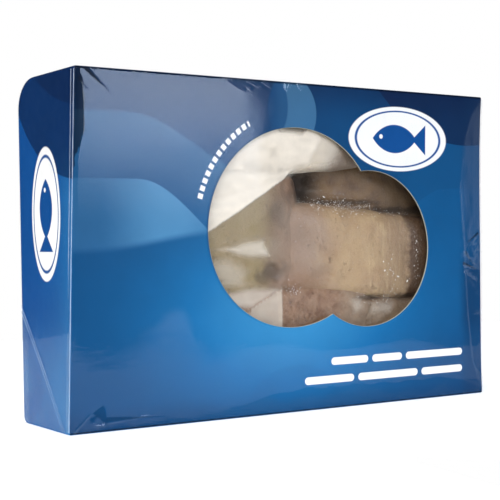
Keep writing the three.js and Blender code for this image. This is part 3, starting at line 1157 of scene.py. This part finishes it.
# Each loin: its middle, half sizes and tilt as seen from the front, how far its face lies behind the
# panel, how far the face curves back to the rim, and its thickness. Over a slope from one x to another
# the face falls back further.
LOINS = {
    "loin_upper": dict(x=-36, z=151.5, half=(92, 22), tilt=3, front=2.4, crown=3.0, thick=20),
    "loin_rear": dict(
        x=69, z=125, half=(61, 32), tilt=-2, front=14, crown=4, thick=22, slope=(32, 12, 9)
    ),
    "loin_deep": dict(x=5, z=118, half=(70, 34), tilt=0, front=24, crown=3, thick=16),
    "loin_main": dict(
        x=47, z=86.8, half=(66, 25.6), tilt=-5, front=5.5, crown=1.8, thick=22, slope=(16, -8, 1.6)
    ),
    "loin_left": dict(
        x=-43, z=96, half=(52, 35), tilt=2, front=6.4, crown=1.0, thick=18, slope=(-4, 10, 2.4)
    ),
    "loin_lower_left": dict(x=-12, z=36.5, half=(74, 35), tilt=-1, front=6.6, crown=1, thick=16),
    "loin_lower_right": dict(
        x=82, z=33, half=(46, 29), tilt=2, front=7.4, crown=1.5, thick=14, slope=(52, 38, 3)
    ),
}
FACE_POWER = 7  # how square a loin's outline is
RIM_POWER = 8  # how suddenly its face falls away near the rim
NO_LOIN = 60.0  # the depth given where there is no loin

# Hollows in the loins' faces: place, half sizes, depth and how much darker they are. The darkening is
# painted shade in the hollows, seams and cavity, and a darker grey on the left loin's patch
HOLLOWS = [
    (-12, 77, 12, 5.5, 3, 0.6),  # between the left and the main loin
    (-21, 74, 6, 3.5, 2, 0.4),
    (-9, 109, 9, 9, 1.0, 0.42),  # grey patch on the left loin
    (4, 98, 9, 12, 0.6, 0.12),
    (12, 123.5, 11, 9, 5, 0.88),  # the cavity under the upper loin
    (2, 121, 9, 8, 2, 0.4),
    (-2, 67.0, 4, 1.6, 1, 0.35),  # under the main loin's corner
    (58, 60.5, 12, 1.8, 3, 0.6),  # along the main loin's base
    (88, 60.0, 13, 2.4, 3, 0.45),
    (-1, 157, 12, 3, 1.5, 0.5),  # top of the upper loin
    (57, 91, 3, 10, 0.5, 0.1),  # shallow dents in the main loin
    (20, 78, 8, 5, 0.6, 0.12),
    (10, 94, 7, 9, 0.6, 0.1),
    (81, 84, 2.2, 14, 0.6, 0.15),
    (45, 115.8, 34, 1.6, 2, 0.75),  # the dark seam between it and the rear loin
    (92, 111.5, 34, 2.8, 2, 0.8),
]


def loin_reach(loin, x, z):
    """0 in a loin's middle and 1 on its outline."""
    tilt = math.radians(loin["tilt"])
    along = (x - loin["x"]) * math.cos(tilt) + (z - loin["z"]) * math.sin(tilt)
    across = (z - loin["z"]) * math.cos(tilt) - (x - loin["x"]) * math.sin(tilt)
    half_length, half_height = loin["half"]
    powers = np.abs(along / half_length) ** FACE_POWER + np.abs(across / half_height) ** FACE_POWER
    return powers ** (1 / FACE_POWER)


def hollows_and_painted_shade(x, z):
    """Depth of the hollows at each point, and how much painted shade darkens them."""
    x, z = np.asarray(x, float), np.asarray(z, float)
    ragged = 0.5 * wobble(spots(x, z), 5, 27)
    depth, dark = np.zeros(np.shape(x)), np.zeros(np.shape(x))
    for middle_x, middle_z, half_x, half_z, deep, shade in HOLLOWS:
        reach = np.hypot((x - middle_x) / half_x, (z - middle_z) / half_z)
        share = smooth(1.25 - reach + ragged)
        depth = np.maximum(depth, deep * share)
        dark = np.maximum(dark, shade * share)
    return depth, dark


def fall_back(loin, x, z):
    """How far a loin's face falls back over its slope, whose line wanders a little."""
    start, end, amount = loin.get("slope", (0, 1, 0))
    wander = 7 * wobble(spots(x * 0.3, 0, z), 11, 26)
    return amount * smooth((x + wander - start) / (end - start))


def loin_depth(loin, x, z):
    """How far behind the panel a loin's face lies."""
    reach = loin_reach(loin, x, z)
    rise = (1 - np.clip(reach, 0, 1) ** RIM_POWER) ** 0.5
    face = loin["front"] + loin["crown"] * np.clip(reach, 0, 1) ** 2 + fall_back(loin, x, z)
    return np.where(reach < 1, mix(loin["front"] + loin["thick"] / 2, face, rise), NO_LOIN)


def build_loin(name, material):
    """One loin: a flat, round-cornered block of flesh with an uneven face, and painted shade in its hollows
    and at its rim.
    """
    loin = LOINS[name]
    columns, rows = 130, 76
    u = np.sin(np.linspace(-0.5, 0.5, columns + 1) * math.pi)
    v = np.sin(np.linspace(-0.5, 0.5, rows + 1) * math.pi)
    v, u = np.meshgrid(v, u, indexing="ij")
    larger = np.maximum(np.abs(u), np.abs(v))
    power = (np.abs(u) ** FACE_POWER + np.abs(v) ** FACE_POWER) ** (1 / FACE_POWER)
    pull = larger / np.maximum(power, TINY)
    tilt = math.radians(loin["tilt"])
    along, across = u * pull * loin["half"][0], v * pull * loin["half"][1]
    x = loin["x"] + along * math.cos(tilt) - across * math.sin(tilt)
    z = loin["z"] + across * math.cos(tilt) + along * math.sin(tilt)
    rise = np.sqrt(np.maximum(0, 1 - larger**RIM_POWER))
    seed = len(name)
    flat = spots(x, 0, z)
    lumps = bumps(flat, (1.1, 21, seed), (0.45, 7, seed + 1), (0.16, 2.6, seed + 2))
    hollow, dark = hollows_and_painted_shade(x, z)
    middle = front_y(x, z) + loin["front"] + loin["thick"] / 2
    face = front_y(x, z) + loin["front"] + loin["crown"] * larger**2 + fall_back(loin, x, z)
    face = face + np.maximum(lumps, -1) + hollow
    back = middle + loin["thick"] / 2 - 2 * larger**2
    stray, margin = (1 - rise) * 0.8, 0.6
    x = x + stray * wobble(flat, 15, seed + 3)
    z = z + stray * wobble(flat, 13, seed + 4)
    z = np.clip(z, BAG_LOW.z + margin, BAG_HIGH.z - margin)
    skin = Skin()
    skin.grid(spots(x, mix(middle, face, rise), z))
    skin.grid(spots(x, mix(middle, back, rise), z)[:, ::-1])
    # Painted shade near the rim, where the face falls away
    edge = smooth((larger - 0.9) / 0.1) * 0.2
    shade = np.clip(np.maximum(dark, edge), 0, 0.95)
    return skin.piece(name, [material], {"shade": np.append(shade, shade[:, ::-1])})


# ---- The bag


# The film's slack web between the upper and the left loin: it hangs from the upper loin's edge down
# to a straight crease
WEB_TOP = 134.5
WEB_CREASE = ((-90, 79.4), (-6.4, 128))
WEB_DEPTH = (4.2, 7.5)

# Milky places in the bag's film, partly frosted film and partly painted highlight and glare where the film
# catches the
# light: corners, strength and softness of the edge
MILKY = [
    ([(-90, 134), (-90, 79.4), (-52, 101.5), (-6.4, 128), (-2, 133)], 0.97, 1.0),
    ([(-80, 130), (-80, 175), (6, 175), (16, 150), (8, 136), (-8, 130)], 0.92, 8.0),
    ([(6, 136), (4, 175), (26, 175), (29, 144), (22, 137)], 0.5, 9.0),
    ([(-47, 90), (-30, 93.5), (-21, 94), (-17, 86.5), (-31, 86)], 0.6, 5.0),
    ([(-34, 95), (-8, 97), (4, 90), (-6, 83), (-28, 85)], 0.13, 12.0),
    ([(-14, 116), (8, 118), (22, 104), (20, 76), (-8, 76)], 0.12, 16.0),
    ([(-56, 70), (-30, 68.5), (-9, 72), (-9, 67), (-27, 59), (-45, 57), (-60, 60)], 0.5, 5.0),
    ([(-28, 58), (-8, 67.5), (-7.8, 40), (-30, 40)], 0.47, 0.6),
    ([(-70, 60), (-45, 57), (-28, 58), (-30, 38), (-70, 38)], 0.62, 5.0),
    ([(-64, 84), (-42, 84), (-32, 78), (-34, 71), (-60, 71)], 0.36, 9.0),
    ([(41, 60), (48, 60), (50, 55), (43, 53)], 0.34, 6.0),
    ([(58, 57), (72, 57), (70, 52), (56, 52)], 0.3, 6.0),
]
# Places where a milky part of the film is clearer, so that darker flesh shows through as marks on the upper
# loin and as painted shade along its lower edge and in the gap at its top: corners, how much and the
# softness of the edge
CLEARER = [
    ([(-16, 158), (-13, 153), (2, 152.2), (10, 158)], 0.85, 1.6),
    ([(-20, 144), (-15, 145), (-15, 140), (-19, 139)], 0.25, 3.0),
    ([(-13, 134), (-9, 134.5), (-8, 131.5), (-12, 131)], 0.3, 2.5),
    ([(-36, 136), (-18, 135.5), (-14, 132), (-34, 132)], 0.2, 3.5),
    ([(-64, 130.8), (-10, 130.4), (-10, 131.8), (-64, 132.4)], 0.2, 1.0),
    ([(-54, 143), (-40, 150), (-34, 155), (-50, 155)], 0.12, 6.0),
]
# Creases of the bag's film: start, end, width and height
FOLDS = [
    ((-7.8, 68), (-7.8, 40), 0.9, 1.3),
    ((-46, 90), (-10, 84), 1.6, 1.2),
    ((-44, 90.5), (-16, 95), 1.5, 0.7),
    ((-56, 69), (-10, 70), 1.6, 1.2),
    ((-27, 58), (-9, 67), 1.0, 0.8),
    ((-20, 128), (30, 132), 1.8, 0.8),
    ((-64, 131.6), (-2, 131.2), 1.1, -0.7),
]


def relax(rest, rounds):
    """A film drawn tight: each point moves to its neighbours' mean, but not into what it lies on."""
    depth = rest
    for _ in range(rounds):
        padded = np.pad(depth, 1, mode="edge")
        mean = (padded[:-2, 1:-1] + padded[2:, 1:-1] + padded[1:-1, :-2] + padded[1:-1, 2:]) / 4
        depth = np.minimum(mean, rest)
    return depth


def bag_face(x, z):
    """How far behind the front panel the bag's film lies."""
    clearance = bpy.context.scene.pack_sizes.bag_clearance / MM
    nearest, deepest = 1.5, 28.0
    over_loins = np.minimum.reduce([loin_depth(loin, x, z) for loin in LOINS.values()])
    rest = np.minimum(over_loins + hollows_and_painted_shade(x, z)[0] - clearance, deepest)
    depth = relax(rest, rounds=26)
    (x0, z0), (x1, z1) = WEB_CREASE
    crease_z = z0 + (x - x0) * (z1 - z0) / (x1 - x0)
    share = np.clip((WEB_TOP - z) / np.maximum(WEB_TOP - crease_z, 0.5), 0, 1)
    web = mix(*WEB_DEPTH, share)
    depth = np.where((z > crease_z) & (z < WEB_TOP) & (x < x1), np.minimum(depth, web), depth)
    for start, end, width, height in FOLDS:
        depth = depth - height * ridge(x, z, start, end, width)
    flat = spots(x, 0, z)
    depth = depth - 0.3 * np.abs(wobble(flat, 12, 21)) - 0.12 * np.abs(wobble(flat, 4, 22))
    return np.clip(depth, nearest, deepest)


def milkiness(x, z):
    """How milky the bag's film is at each point: partly frost, partly painted highlight and glare."""
    flat = spots(x, 0, z)
    wavy_x, wavy_z = x + 0.5 * wobble(flat, 6, 31), z + 0.5 * wobble(flat, 6, 32)
    milk = 0.01 + 0.03 * np.abs(wobble(flat, 14, 33))
    streaks = 0.94 + 0.12 * wobble(flat * (0.35, 1, 1), 3.4, 34)
    for corners, strength, softness in MILKY:
        milk = np.maximum(milk, strength * streaks * soft_polygon(wavy_x, wavy_z, corners, softness))
    for corners, share, softness in CLEARER:
        milk = milk * (1 - share * soft_polygon(wavy_x, wavy_z, corners, softness))
    return np.clip(milk, 0, 0.97)


def build_bag():
    """The sealed inner bag: a face drawn over the loins, and a plain back."""
    step = bpy.context.scene.pack_sizes.bag_step / MM
    seam_y, behind = MID_Y + 2, 3.5
    xs = np.linspace(BAG_LOW.x, BAG_HIGH.x, round((BAG_HIGH.x - BAG_LOW.x) / step) + 1)
    zs = np.linspace(BAG_LOW.z, BAG_HIGH.z, round((BAG_HIGH.z - BAG_LOW.z) / step) + 1)
    z, x = np.meshgrid(zs, xs, indexing="ij")
    u = 2 * (x - BAG_LOW.x) / (BAG_HIGH.x - BAG_LOW.x) - 1
    v = 2 * (z - BAG_LOW.z) / (BAG_HIGH.z - BAG_LOW.z) - 1
    # 1 over most of the bag, and 0 at its welded edges
    full = (np.maximum(0, 1 - u**16) * np.maximum(0, 1 - v**20)) ** 0.4
    face = front_y(x, z) + BOARD + np.maximum(bag_face(x, z) - BOARD, 0.4)
    back = back_y(x, z) - behind
    skin = Skin()
    skin.grid(spots(x, mix(seam_y, face, full), z))
    skin.grid(spots(x, mix(seam_y, back, full), z)[:, ::-1])
    milk = milkiness(x, z)
    film = clear_film("bag_film", 0.3, 0.25, "#eee4d5", 0.3)
    return skin.piece("bag_film", [film], {"milk": np.append(milk, np.full(milk.size, 0.1))})


# ---- The frost


# Where crystals grow: start and end of a line, how far they spread from it, how many, and their size
FROST_LINES = [
    ((14, 115.5), (62, 112.0), (1.0, 2.0), 560, 0.6),
    ((20, 114), (48, 112.5), (3.0, 3.6), 130, 0.75),
    ((62, 111.0), (100, 107.5), (0.9, 1.2), 60, 0.6),
    ((46, 61), (72, 59.5), (3.0, 1.6), 160, 0.7),
    ((-4, 69), (4, 66), (2.5, 1.6), 60, 0.7),
    ((89, 98), (90, 68), (1.4, 3.0), 45, 0.8),
    ((68, 80), (78, 66), (4.0, 4.0), 24, 1.1),
    ((2, 104), (12, 98), (5.0, 4.0), 20, 0.6),
    ((-10, 118), (80, 70), (45.0, 26.0), 260, 0.5),
]


def build_frost():
    """Crystals of frost on the loins, as one mesh of small uneven octahedra."""
    crystal = bpy.context.scene.pack_sizes.crystal / MM
    draw = np.random.default_rng(41)
    corners = np.array([(1, 0, 0), (0, 1, 0), (-1, 0, 0), (0, -1, 0), (0, 0, 1), (0, 0, -1)], float)
    around = [(first, (first + 1) % 4) for first in range(4)]
    sides = np.array([(a, b, 4) for a, b in around] + [(b, a, 5) for a, b in around])
    points, faces = [], []
    for start, end, spread, count, size in FROST_LINES:
        for _ in range(count):
            x, z = mix(np.array(start), np.array(end), draw.random()) + draw.normal(0, spread)
            depth = min(loin_depth(loin, x, z) for loin in LOINS.values())
            if depth == NO_LOIN:
                continue
            depth = depth + hollows_and_painted_shade(x, z)[0] - draw.uniform(0.0, 0.5)
            radius = size * crystal * draw.lognormal(0, 0.4)
            shape = corners * draw.uniform(0.5, 1.2, (6, 1)) * (0.7, 0.7, draw.uniform(0.6, 1.7)) * radius
            spin = Matrix.Rotation(draw.uniform(0, 6.28), 3, Vector(draw.normal(0, 1, 3)).normalized())
            place = (x, front_y(x, z) + depth, z)
            faces.extend((sides + len(points) * 6).tolist())
            points.append(shape @ np.array(spin).T + place)
    mesh = bpy.data.meshes.new("frost_crystals")
    mesh.from_pydata(np.concatenate(points) * MM, [], faces)
    piece = finish_piece("frost_crystals", mesh, [ice("ice")], join=False)
    for face in piece.data.polygons:
        face.use_smooth = False
    return piece


# ---- The stage


# Outline of the sheet of paper on which the pack stands
PAPER = [
    *[(-900, -300), (-62, -262), (-50, -178), (-38, -166), (-29, -180), (-8, -203), (19, -248)],
    *[(50, -290), (94, -345), (134, -385), (129, -362), (90, -290), (44, -212), (42, -192)],
    *[(62, -203), (84, -221), (109, -231), (133, -232), (420, -240), (620, 60), (560, 480)],
    *[(-420, 560), (-900, 500)],
]


def add_light(name, power, size, place, target):
    """A soft rectangular light at a place, facing a target, in metres."""
    data = bpy.data.lights.new(name, "AREA")
    data.energy = power
    data.shape = "RECTANGLE"
    data.size, data.size_y = size
    light = bpy.data.objects.new(name, data)
    light.location = place
    light.rotation_euler = (Vector(target) - Vector(place)).to_track_quat("-Z", "Y").to_euler()
    light.visible_camera = False
    bpy.context.scene.collection.objects.link(light)


def build_camera(stage):
    """The camera at the photograph's angle."""
    data = bpy.data.cameras.new("camera")
    data.lens = stage.lens
    camera = bpy.data.objects.new("camera", data)
    turn = Matrix.Rotation(-stage.heading, 4, "Z")
    turn @= Matrix.Rotation(math.pi / 2 + stage.pitch, 4, "X") @ Matrix.Rotation(stage.roll, 4, "Z")
    place = Vector((stage.camera_x, stage.camera_y, stage.camera_z))
    camera.matrix_world = Matrix.Translation(place) @ turn
    bpy.context.scene.collection.objects.link(camera)
    bpy.context.scene.camera = camera


def build_world(stage):
    """A white backdrop for the camera, and a dim room in the reflections."""
    world = bpy.data.worlds.new("room")
    world.use_nodes = True
    tree = world.node_tree
    tree.nodes.clear()
    path = tree.nodes.new("ShaderNodeLightPath").outputs
    strength = None
    for seen, value in (("Is Glossy Ray", stage.room_dark), ("Is Camera Ray", 1.0)):
        mixed = tree.nodes.new("ShaderNodeMix")
        mixed.inputs["A"].default_value = stage.room
        mixed.inputs["B"].default_value = value
        tree.links.new(path[seen], mixed.inputs["Factor"])
        if strength:
            tree.links.new(strength, mixed.inputs["A"])
        strength = mixed.outputs["Result"]
    background = tree.nodes.new("ShaderNodeBackground")
    background.inputs["Color"].default_value = (1, 1, 1, 1)
    tree.links.new(strength, background.inputs["Strength"])
    output = tree.nodes.new("ShaderNodeOutputWorld")
    tree.links.new(background.outputs[0], output.inputs["Surface"])
    bpy.context.scene.world = world


def build_floor():
    """The white paper on which the pack stands."""
    mesh = bpy.data.meshes.new("floor")
    corners = [(x * MM, y * MM, 0) for x, y in PAPER]
    mesh.from_pydata(corners, [], [list(range(len(corners)))])
    finish = Finish("floor_white")
    shade = finish.blend(finish.grain(60, 2), "#fdfdfd", "#f8f8f8")
    surface = finish.principled(
        base_color=shade, roughness=0.6, emission_color=(1, 1, 1, 1), emission_strength=0.4
    )
    finish_piece("floor", mesh, [finish.use(surface)])


def build_glare_panel(name, heading, bottom, size, strength, soft):
    """A bright upright panel that fades towards its edges, for the film to mirror. heading is the
    direction from the pack towards it, in degrees from -Y to +X, and soft the share of its size that
    fades at its left, right, bottom and top edge, as the pack sees them."""
    skin = Skin()
    skin.grid(plane(np.linspace(0, 1, 3), np.linspace(0, 1, 3), lambda v, u: (u, 0, v)))
    finish = Finish(name)
    daylight = (0.72, 0.83, 1.0)
    u, _, v = finish.place()
    left, right, low, high = soft
    edges = u.between(0, left) * u.between(1, 1 - right) * v.between(0, low) * v.between(1, 1 - high)
    glow = finish.blend(edges, (0, 0, 0), daylight)
    light = finish.node("Emission", None, {"Color": glow, "Strength": strength})
    panel = skin.piece(name, [finish.use(light)])
    distance = 1250 * MM
    turn = Matrix.Rotation(math.radians(heading), 4, "Z")
    spread = Matrix.Diagonal((size[0], 1, size[1], 1)) @ Matrix.Translation((-0.5 * MM, 0, 0))
    panel.matrix_world = turn @ Matrix.Translation((0, -distance, bottom * MM)) @ spread
    panel.visible_camera = False


# ---- Operators


def settle(piece, slot, *nodes):
    """Joins a piece to the frame: it rides on the pack, and stands for the nodes it replaces."""
    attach(piece, BODY)
    if nodes:
        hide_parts(*nodes)


class PACK_OT_stage(bpy.types.Operator):
    """Make the camera, the lights, the room and the floor"""

    bl_idname = "pack.stage"
    bl_label = "Stage"

    def execute(self, context):
        stage = context.scene.pack_stage
        build_camera(stage)
        build_world(stage)
        build_floor()
        build_glare_panel("glare_window", 25, -20, (420, 420), stage.glare, (0.1, 0.1, 0.62, 0.1))
        build_glare_panel("glare_wall", 62, 10, (620, 450), stage.wall, (0.3, 0.3, 0.15, 0.3))
        middle = (0, 0, 0.09)
        add_light("key", stage.key_power, (1.2, 1.0), (-1.1, -1.3, 1.0), middle)
        add_light("overhead", stage.top_power, (1.6, 1.2), (-0.1, 0.1, 1.5), (0, 0, 0))
        add_light("left_fill", stage.side_power, (0.8, 0.9), (-1.3, -0.35, 0.6), middle)
        context.scene.view_settings.view_transform = "Standard"
        return {"FINISHED"}


class PACK_OT_carton(bpy.types.Operator):
    """Make the folded, printed carton with its window"""

    bl_idname = "pack.carton"
    bl_label = "Carton"

    def execute(self, context):
        settle(build_carton(), "printed_card", "carton")
        return {"FINISHED"}


class PACK_OT_wrapping(bpy.types.Operator):
    """Make the clear film across the window, its folded ends and its seam"""

    bl_idname = "pack.wrapping"
    bl_label = "Clear wrapping"

    def execute(self, context):
        settle(build_film_front(), "clear_film", "window_film")
        settle(build_film_sides(), "clear_film")
        for side, label in ((-1, "left"), (1, "right")):
            settle(build_end_fold(side, "film_fold_" + label), "clear_film")
            settle(build_end_lap(side, "film_lap_" + label), "clear_film")
        settle(build_back_seam(), "clear_film")
        return {"FINISHED"}


class PACK_OT_loins(bpy.types.Operator):
    """Make the frozen loins"""

    bl_idname = "pack.loins"
    bl_label = "Loins"

    def execute(self, context):
        fish = context.scene.pack_fish
        reddish = "#85644e"
        finishes = {
            "loin_upper": flesh(
                "flesh_cream",
                *(fish.cream, "#d0c3ae", "#c9b8a3"),
                bands=0.03,
                size=14,
                rime=0.1,
                # Painted shade where the right end meets the recess
                tones=[(12, 32, 0.85, fish.brown)],
            ),
            "loin_rear": flesh(
                "flesh_brown",
                *("#755939", "#5a4129", "#6a4f33"),
                bands=0.05,
                size=12,
                rime=0.05,
                # The first tone is painted shade at the left end, beside the cavity
                tones=[(32, 18, 0.8, fish.dark), (60, 74, 0.5, "#5d4c3a")],
                flecks=0.4,
            ),
            # Very dark flesh: painted shade for the cavity through which this loin shows
            "loin_deep": flesh(
                "flesh_deep_painted_shade", *("#4c3420", "#3c2818", "#452f1c"), bands=0.05, size=10, rime=0.02
            ),
            "loin_main": flesh(
                "flesh_tan",
                *(fish.tan, "#a08260", "#a88c73"),
                bands=0.03,
                size=14,
                rime=0.1,
                # The last tone is painted shade on the end face at the right, where it falls away
                tones=[(36, 2, 0.9, reddish), (54, 70, 0.45, "#765d44"), (80, 86, 0.9, "#482d19")],
                flecks=0.5,
                streaked=(56, 78),
            ),
            "loin_left": flesh(
                "flesh_olive",
                *(fish.olive, "#8c7a50", "#8c7a5a"),
                bands=0.03,
                size=14,
                rime=0.05,
                tones=[(-26, -10, 0.9, fish.pink), (-16, 1, 0.85, "#8a6850")],
            ),
            "loin_lower_left": flesh(
                "flesh_rosy",
                *("#95745a", "#744f36", "#84664e"),
                bands=0.06,
                size=7,
                rime=0.1,
                tones=[(26, 44, 0.7, "#8e7a64")],
                flecks=0.7,
            ),
            "loin_lower_right": flesh(
                "flesh_pale",
                *("#8a745c", "#735c44", fish.brown),
                bands=0.08,
                size=9,
                rime=0.15,
                tones=[(72, 86, 0.7, fish.brown)],
            ),
        }
        for name, material in finishes.items():
            settle(build_loin(name, material), "bagged_fish")
        return {"FINISHED"}


class PACK_OT_bag(bpy.types.Operator):
    """Make the sealed bag round the loins and the frost in it"""

    bl_idname = "pack.bag"
    bl_label = "Bag and frost"

    def execute(self, context):
        settle(build_bag(), "bagged_fish", "loin_bag")
        settle(build_frost(), "bagged_fish")
        return {"FINISHED"}


OPERATORS = (PACK_OT_stage, PACK_OT_carton, PACK_OT_wrapping, PACK_OT_loins, PACK_OT_bag)
SETTINGS = {
    "pack_sizes": PACK_PG_sizes,
    "pack_print": PACK_PG_print,
    "pack_fish": PACK_PG_fish,
    "pack_stage": PACK_PG_stage,
}


class PACK_PT_panel(bpy.types.Panel):
    """Settings and steps of the pack"""

    bl_idname = "PACK_PT_panel"
    bl_label = "Loin pack"
    bl_space_type = "VIEW_3D"
    bl_region_type = "UI"
    bl_category = "Loin pack"

    def draw(self, context):
        for label, group in SETTINGS.items():
            box = self.layout.box()
            box.label(text=group.__doc__)
            for key in group.__annotations__:
                box.prop(getattr(context.scene, label), key)
        for operator in OPERATORS:
            self.layout.operator(operator.bl_idname)


def register():
    for made in (*SETTINGS.values(), *OPERATORS, PACK_PT_panel):
        bpy.utils.register_class(made)
    for label, group in SETTINGS.items():
        setattr(bpy.types.Scene, label, PointerProperty(type=group))


def unregister():
    for label in SETTINGS:
        delattr(bpy.types.Scene, label)
    for made in reversed((*SETTINGS.values(), *OPERATORS, PACK_PT_panel)):
        bpy.utils.unregister_class(made)


def main():
    register()
    bpy.ops.pack.stage()
    bpy.ops.pack.carton()
    bpy.ops.pack.wrapping()
    bpy.ops.pack.loins()
    bpy.ops.pack.bag()


if __name__ == "__main__":
    main()
